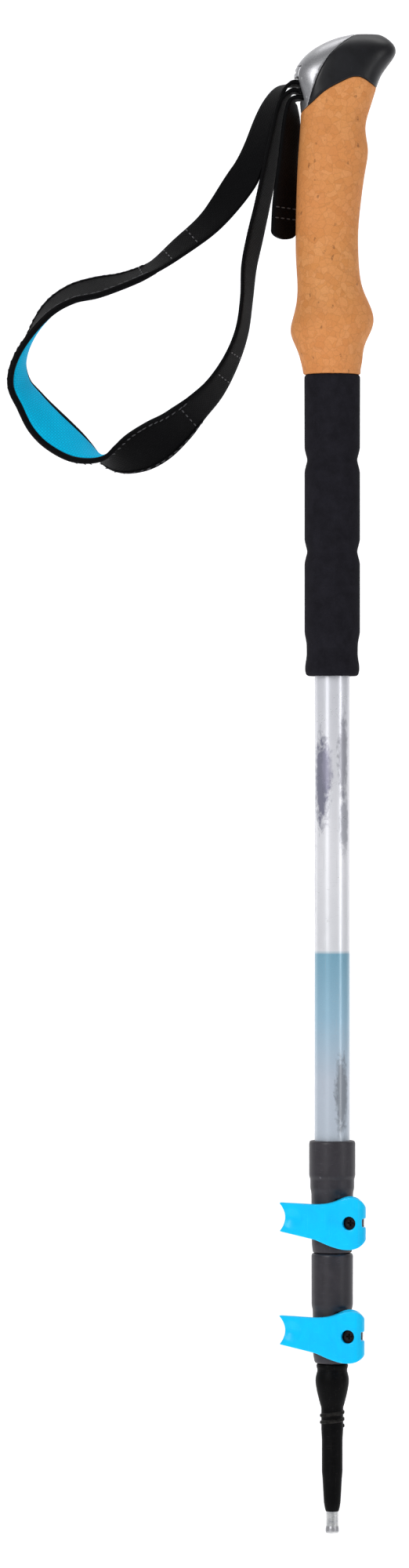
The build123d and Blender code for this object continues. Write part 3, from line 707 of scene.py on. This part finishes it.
# %% Clamps
for which in ("upper", "lower"):
    body = "handle" if which == "upper" else "middle"
    soft_copy(which + "_lock_body", lock_grey, body, 0.42, 5)
    dress(black_steel, which + "_lock_screw", which + "_lock_barrel")
    dress(steel, which + "_lock_nut")
    dress(nylon, which + "_lock_pad")

# %% Levers
LOCK_Z = {"upper": 0.1415, "lower": 0.0903}
DISH_RADIUS, DISH_DEPTH = 0.0052, 0.0011


def press_dish(made, centre):
    """A shallow dish in the side that faces -Y, round a point of the side view (x, z)."""
    for vert in made.data.vertices:
        if vert.normal.y > -0.35:
            continue
        far = sqrt((vert.co.x - centre[0]) ** 2 + (vert.co.z - centre[1]) ** 2) / DISH_RADIUS
        if far < 1:
            vert.co.y += DISH_DEPTH * (1 - far * far) ** 2


for which, lock_z in LOCK_Z.items():
    lever = soft_copy(which + "_lever", lever_blue, which + "_lever", 0.36, 5)
    press_dish(lever, (-0.0185, lock_z + 0.0015))

# %% [markdown]
# ## Tubes and inner parts
# The tubes are plain drawn tube, so the CAD meshes stay and only take their finish. The same holds for the
# bushes, the plug, the core, the strap's pin and anchor, and the tip's ferrule and carbide.

# %% Tubes and hidden parts
dress(print_look.material, "upper_shaft")
dress(middle_metal, "middle_shaft")
dress(lower_metal, "lower_shaft")
dress(nylon, "middle_bush", "lower_bush")
dress(core_black, "shaft_plug", "grip_core")
dress(steel, "strap_pin", "tip_ferrule")
dress(carbide, "carbide_tip")
dress(hidden_webbing, "strap_anchor")

# %% Numbers on the scale
# The numbers are text turned into mesh, laid along the tube and wrapped round it.
NUMBER_HIGH, NUMBER_PROUD = 0.0042, 0.00003


def tube_numbers(name, body, radius, marks, material):
    """Numbers beside the long ticks: each text becomes mesh and is wrapped round the tube."""
    bm = bmesh.new()
    for words, height in marks:
        text = bpy.data.curves.new(name, "FONT")
        text.body = words
        text.size = NUMBER_HIGH * 1.4
        text.align_x = "LEFT"
        text.align_y = "CENTER"
        holder = bpy.data.objects.new(name, text)
        bpy.context.scene.collection.objects.link(holder)
        bpy.context.view_layer.update()
        mesh = bpy.data.meshes.new_from_object(holder.evaluated_get(bpy.context.evaluated_depsgraph_get()))
        bpy.data.objects.remove(holder)
        number = bmesh.new()
        number.from_mesh(mesh)
        bmesh.ops.remove_doubles(number, verts=number.verts, dist=1e-6)
        for vert in number.verts:
            turn = LONG_TICK_HALF + 0.12 + vert.co.x / radius
            rise = vert.co.y
            out = radius + NUMBER_PROUD
            vert.co = (out * sin(turn), -out * cos(turn), height + rise)
        number.to_mesh(mesh)
        number.free()
        bm.from_mesh(mesh)
    return piece(name, bm, material, body, outward=False)


ink = moulded("scale_ink", srgb(26, 27, 30), srgb(32, 33, 36), srgb(60, 60, 62), (0.4, 0.5), 1500.0, 0.004)
middle_marks = [(str(115 + 5 * step), 0.20 + 0.05 * step) for step in range(5)]
lower_marks = [(str(115 + 5 * step), 0.15 + 0.05 * step) for step in range(5)]
tube_numbers("middle_numbers", "middle", 0.007, middle_marks, ink)
tube_numbers("lower_numbers", "lower", 0.006, lower_marks, ink)

# %% [markdown]
# ## Flex tip
# The tip is moulded in one: a cuff round the tube, a bulge that the basket rests against, a screw thread
# for the basket and a straight seat for a rubber boot. A profile spun round the axis makes the body. The
# thread is a small ridge spun with a rise at each step, which makes a true helix.


# %% Turned shapes
def spun(profile, steps=72):
    """A closed ring of (radius, height) points, in millimetres, turned about the pole's axis."""
    bm = bmesh.new()
    points = [bm.verts.new((radius * MM, 0, height * MM)) for radius, height in profile]
    edges = [bm.edges.new(pair) for pair in zip(points, points[1:] + points[:1])]
    bmesh.ops.spin(bm, geom=points + edges, cent=(0, 0, 0), axis=(0, 0, 1), angle=tau, steps=steps,
                   use_merge=True)
    bmesh.ops.remove_doubles(bm, verts=bm.verts, dist=1e-6)
    return bm


def helix(bm, ridge, low, pitch, turns, steps=48):
    """A ridge (radius, rise) wound up the axis from a height: a spin that rises at each step."""
    points = [bm.verts.new((radius * MM, 0, (low + rise) * MM)) for radius, rise in ridge]
    edges = [bm.edges.new(pair) for pair in zip(points, points[1:] + points[:1])]
    start = bmesh.ops.contextual_create(bm, geom=edges)["faces"]
    grown = bmesh.ops.spin(bm, geom=start, cent=(0, 0, 0), axis=(0, 0, 1), dvec=(0, 0, pitch * MM / steps),
                           angle=tau * turns, steps=int(steps * turns))
    return grown


CUFF = [(6.05, 76.8), (6.8, 76.8), (7.2, 76.2), (7.15, 75.5), (6.8, 74.3), (6.8, 73.4), (7.2, 72.0),
        (7.5, 70.6), (7.6, 69.2), (7.5, 67.4), (6.9, 64.0), (6.2, 61.1), (5.5, 58.4), (5.1, 57.2),
        (5.0, 56.4)]
SEAT = [(5.0, 47.2), (4.9, 45.4), (4.78, 43.6), (4.7, 42.0), (4.7, 28.0), (4.4, 24.5), (4.0, 17.0),
        (3.8, 13.9), (3.4, 11.4), (3.0, 10.0), (2.76, 9.6), (2.76, 24.0), (3.9, 34.0), (3.9, 60.0),
        (6.05, 70.0)]
tip = spun(CUFF + SEAT)
tip_skin = piece("flex_tip_skin", tip, tip_black, "lower")
edge_roll = tip_skin.modifiers.new("bevel", "BEVEL")
edge_roll.width = 0.00025
edge_roll.segments = 2
edge_roll.limit_method = "ANGLE"
edge_roll.angle_limit = radians(16)
settle(tip_skin)
tip_skin.data.set_sharp_from_angle(angle=radians(40))
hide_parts("flex_tip")

THREAD_RIDGE = [(4.85, -1.05), (5.6, -0.45), (5.6, 0.45), (4.85, 1.05)]
thread_bm = bmesh.new()
helix(thread_bm, THREAD_RIDGE, 48.6, 3.1, 2.25)
piece("basket_thread", thread_bm, tip_black, "lower", sharp=30)

# %% [markdown]
# ## Strap
# The strap is a flat band that twists as it hangs, so it shows its outer face, its edge and its blue
# lining in turn. It could be draped by a cloth simulation, but a remesh erases so thin a band, so it is
# modelled directly: a cross-section is extruded from station to station along the route. A station knows
# its place, the direction across the band and the direction out of its face.

# %% Route
# x and z in millimetres, the turn of the band about its own run in degrees, and its width. At a turn of
# 0 the width lies across the pole. The route runs down from the slot, round the wrist and back up.
LOOP_ROUTE = [
    (-15.2, 657.1, 0, 16), (-18.6, 657.0, 0, 16), (-23.6, 654.2, 16, 16), (-27.2, 648.4, 28, 16),
    (-30.4, 640.5, 36, 16), (-34.3, 628.5, 44, 16), (-37.7, 619.8, 53, 16),
    (-42.4, 611.6, 62, 16), (-54.8, 595.2, 45, 16),
    (-69.0, 583.2, 34, 16), (-81.5, 573.8, 20, 17), (-94.0, 568.4, 20, 19), (-106.7, 565.0, 26, 21),
    (-118.1, 562.0, 22, 22), (-128.2, 555.5, 16, 22), (-136.5, 544.5, 5, 22),
    (-142.0, 532.0, -8, 22), (-142.0, 521.0, -24, 22), (-136.8, 512.4, -34, 22),
    (-130.6, 503.9, -46, 22), (-123.7, 497.3, -46, 22), (-114.5, 490.8, -32, 22),
    (-104.5, 486.4, 0, 22), (-96.5, 486.9, 30, 22), (-87.0, 490.8, 54, 22),
    (-79.0, 495.4, 56, 22), (-71.0, 501.2, 45, 21), (-62.0, 509.8, 34, 20),
    (-53.2, 519.2, 27, 19), (-45.8, 531.8, 20, 18), (-41.0, 545.0, 18, 16), (-38.9, 559.5, 17, 16),
    (-37.8, 574.0, 22, 16), (-35.2, 587.0, 24, 16), (-31.8, 602.0, 22, 16), (-28.0, 620.0, 21, 16),
    (-24.3, 638.0, 18, 16), (-22.5, 647.8, 12, 16), (-18.8, 653.4, 0, 16), (-15.2, 653.6, 0, 16),
]
PAD_FROM, PAD_TO = 10, 27
TAIL_ROUTE = [
    (-11.6, 650.5, 0, 16), (-16.8, 650.4, 0, 16), (-18.2, 647.2, -15, 16), (-18.6, 638.0, -28, 16),
    (-20.3, 620.0, -32, 16), (-21.6, 604.0, -40, 16), (-22.1, 590.0, -43, 16),
]
STEPS = 10


def between(before, start, end, after, t):
    """A point on the smooth curve from start to end (a Catmull-Rom curve)."""
    return tuple(0.5 * (2 * q + (r - p) * t + (2 * p - 5 * q + 4 * r - s) * t * t
                        + (3 * q - p - 3 * r + s) * t ** 3)
                 for p, q, r, s in zip(before, start, end, after))


def stations(route, steps=STEPS):
    """Stations along a route, with the length of band before each."""
    smooth = []
    for i in range(len(route) - 1):
        near = [route[max(i - 1, 0)], route[i], route[i + 1], route[min(i + 2, len(route) - 1)]]
        smooth += [between(*near, step / steps) for step in range(steps)]
    smooth.append(route[-1])
    made, length = [], 0.0
    for i, (x, z, turn, width) in enumerate(smooth):
        x0, z0 = smooth[max(i - 1, 0)][:2]
        x1, z1 = smooth[min(i + 1, len(smooth) - 1)][:2]
        run = Vector((x1 - x0, 0, z1 - z0)).normalized()
        out, side = Vector((run.z, 0, -run.x)), Vector((0, 1, 0))
        c, s = cos(radians(turn)), sin(radians(turn))
        place = Vector((x, 0, z)) * MM
        if made:
            length += (place - made[-1].place).length
        made.append(SimpleNamespace(place=place, run=run, out=out * c - side * s, across=side * c + out * s,
                                    width=width * MM, along=length))
    return made


loop = stations(LOOP_ROUTE)
tail = stations(TAIL_ROUTE)
pad = loop[PAD_FROM * STEPS:PAD_TO * STEPS + 1]
print("strap from slot to slot:", round(loop[-1].along, 4), "m")
print("its pad:", round(pad[-1].along - pad[0].along, 4), "m")


# %% Extrude a section along the stations
def band(bm, rows, section):
    """Extrudes a closed section along stations. section(row, share) gives its (across, out) points in
    metres, where share runs from 0 to 1 along the rows. Its UV map is in metres."""
    total = rows[-1].along - rows[0].along
    at_row = [[(u, row.place + row.across * u + row.out * n) for u, n in
               section(row, (row.along - rows[0].along) / total)] for row in rows]
    ring = [bm.verts.new(place) for _, place in at_row[0]]
    edges = [bm.edges.new(pair) for pair in zip(ring, ring[1:] + ring[:1])]
    bmesh.ops.contextual_create(bm, geom=edges)
    where = {vert: (u, rows[0].along) for vert, (u, _) in zip(ring, at_row[0])}
    for row, points in zip(rows[1:], at_row[1:]):
        grown = bmesh.ops.extrude_edge_only(bm, edges=edges)["geom"]
        edges = [part for part in grown if isinstance(part, bmesh.types.BMEdge)]
        next_ring = []
        for vert in ring:
            next_ring.append(next(edge.other_vert(vert) for edge in vert.link_edges
                                  if edge.other_vert(vert) in grown))
        for vert, (u, place) in zip(next_ring, points):
            vert.co = place
            where[vert] = (u, row.along)
        ring = next_ring
    bmesh.ops.contextual_create(bm, geom=edges)
    layer = bm.loops.layers.uv.get("metres") or bm.loops.layers.uv.new("metres")
    for face in bm.faces:
        for corner in face.loops:
            if corner.vert in where:
                corner[layer].uv = where[corner.vert]


# %% Webbing
WEB_HALF_THICK = 0.0009
SELVEDGE = 0.0006


def flat_section(half, low, high, roll):
    """A flat band's section with rolled edges: (across, out) points, anticlockwise."""
    inner = half - roll
    middle, rise = (low + high) / 2, (high - low) / 2
    right = [(inner + roll * cos(a), middle + rise * sin(a))
             for a in [radians(d) for d in (-90, -50, -18, 18, 50, 90)]]
    left = [(-u, n) for u, n in reversed(right)]
    across = [inner * step / 3 for step in (2, 1, 0, -1, -2)]
    return right + [(u, high) for u in across] + left + [(-u, low) for u in across]


def web_section(row, share):
    return flat_section(row.width / 2, -WEB_HALF_THICK, WEB_HALF_THICK, SELVEDGE)


strap_bm = bmesh.new()
band(strap_bm, loop, web_section)
strap_webbing = piece("strap_webbing", strap_bm, webbing, None, sharp=50)
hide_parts("strap_down", "strap_hand", "strap_up")

# %% Loose tail
# The tail's end is heat-cut round, and its width follows a half circle over the last few millimetres.
TAIL_END_R, TAIL_END_FLAT = 0.008, 0.42
TIP_STATIONS = 12
last = tail[-1]
for step in range(1, TIP_STATIONS + 1):
    gone = sin(step / TIP_STATIONS * pi / 2)
    wide = max(sqrt(1 - gone * gone), 0.12)
    reach = TAIL_END_R * TAIL_END_FLAT * gone
    tail.append(SimpleNamespace(place=last.place + last.run * TAIL_END_R * TAIL_END_FLAT * gone, run=last.run,
                                out=last.out, across=last.across, width=last.width * wide,
                                along=last.along + reach))
tail_bm = bmesh.new()
band(tail_bm, tail, web_section)
strap_tail = piece("strap_tail_webbing", tail_bm, webbing, "handle", sharp=50)
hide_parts("strap_tail")
print("tail:", round(tail[-1].along, 4), "m")

# %% [markdown]
# ### Padded lining and its binding
# Inside the wide part a foam pad is covered with blue knit. It is fullest in the middle and thins to its
# edges and ends, where the stitching holds it down. A narrow black tape is folded over both edges and
# sewn through, which gives the dark border.

# %% Lining
LINING_MARGIN, LINING_THICK, LINING_CROWN = 0.0009, 0.0010, 0.0007
LINING_TAPER = 0.05


def lining_section(row, share):
    """A pillow's section: flat against the webbing, crowned on the wrist's side."""
    ends = min(1.0, min(share, 1 - share) / LINING_TAPER)
    full = 0.35 + 0.65 * sqrt(max(0.0, 1 - (1 - ends) ** 2))
    half = row.width / 2 - LINING_MARGIN
    steps = [1 - step / 6 for step in range(13)]
    low = [(half * u, -WEB_HALF_THICK - full * (LINING_THICK * (1 - u ** 8) + LINING_CROWN * (1 - u * u)))
           for u in reversed(steps)]
    return low + [(half * u, -WEB_HALF_THICK + 0.0002) for u in (0.6, 0.0, -0.6)]


lining_bm = bmesh.new()
band(lining_bm, pad[2:-2], lining_section)
strap_pad = piece("strap_pad", lining_bm, lining_knit, "strap")
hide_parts("strap_lining")

# %% Binding tape
TAPE_WIDE, TAPE_THICK, TAPE_TAPER = 0.0017, 0.0003, 0.04


def tape_section(edge):
    """The section of tape folded over the +1 or -1 edge of the padded part."""
    def section(row, share):
        ends = min(1.0, min(share, 1 - share) / TAPE_TAPER)
        half = row.width / 2 - 0.0002 * (1 - ends)
        low, high = -WEB_HALF_THICK - 0.0002 - 0.0005 * ends, WEB_HALF_THICK + 0.0001 + TAPE_THICK * ends
        middle, rise = (low + high) / 2, (high - low) / 2
        outer = [(half - 0.0006 + (0.0006 + 0.0003 * ends) * cos(a), middle + rise * sin(a))
                 for a in [radians(d) for d in (-90, -54, -18, 18, 54, 90)]]
        inner = [(half - TAPE_WIDE, high - 0.0001), (half - TAPE_WIDE, low + 0.0001)]
        points = outer + inner
        return points if edge > 0 else [(-u, n) for u, n in reversed(points)]
    return section


tape_bm = bmesh.new()
band(tape_bm, pad, tape_section(1))
band(tape_bm, pad, tape_section(-1))
strap_tape = piece("strap_binding", tape_bm, binding_tape, "strap", sharp=60)

# %% Stitching
# One stitch is a small stretched ball. Its few dozen faces matter, because there are hundreds of it.
STITCH_PITCH, STITCH_LONG, STITCH_R = 0.0032, 0.0026, 0.00024


def stitch(bm, row, across, out, along_band=True):
    """One stitch on a station, across and out from its middle in metres."""
    long_way, short_way = (row.run, row.across) if along_band else (row.across, row.run)
    centre = row.place + row.across * across + row.out * out
    lengths = (STITCH_LONG / 2, STITCH_R * 1.3, STITCH_R)
    axes = [way * size for way, size in zip((long_way, short_way, row.out), lengths)]
    matrix = Matrix.Translation(centre) @ Matrix(axes).transposed().to_4x4()
    bmesh.ops.create_uvsphere(bm, u_segments=6, v_segments=5, radius=1.0, matrix=matrix)


def stitch_row(bm, rows, inset, out):
    """A row of stitches along both edges of the rows, inset from the edge."""
    next_at = rows[0].along + STITCH_PITCH
    for row in rows:
        if row.along >= next_at:
            for edge in (-1, 1):
                stitch(bm, row, edge * (row.width / 2 - inset), out)
            next_at += STITCH_PITCH


def bar_tack(bm, row, out, half):
    """A short row of stitches across the band."""
    count = int(2 * half / STITCH_PITCH)
    for step in range(count + 1):
        stitch(bm, row, -half + 2 * half * step / count, out, along_band=False)


thread_bm = bmesh.new()
stitch_row(thread_bm, pad, 0.0011, WEB_HALF_THICK + TAPE_THICK + 0.0001)
for row in (pad[4], pad[-5]):
    bar_tack(thread_bm, row, WEB_HALF_THICK + 0.0001, 0.0062)
for index in (PAD_FROM * STEPS - 14, PAD_TO * STEPS + 14):
    for step in (0, 8):
        bar_tack(thread_bm, loop[index + step], WEB_HALF_THICK + 0.0001, 0.0058)
        bar_tack(thread_bm, loop[index + step], -WEB_HALF_THICK - 0.0001, 0.0058)
strap_thread = piece("strap_stitching", thread_bm, thread_look.material, "strap")

tail_thread_bm = bmesh.new()
for index in (-TIP_STATIONS - 6, -TIP_STATIONS - 9):
    for side in (-1, 1):
        bar_tack(tail_thread_bm, tail[index], side * (WEB_HALF_THICK + 0.0001), 0.0058)
tail_thread = piece("tail_stitching", tail_thread_bm, thread_look.material, "handle")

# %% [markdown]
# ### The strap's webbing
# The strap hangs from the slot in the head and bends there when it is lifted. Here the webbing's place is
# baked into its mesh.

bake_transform(strap_webbing)
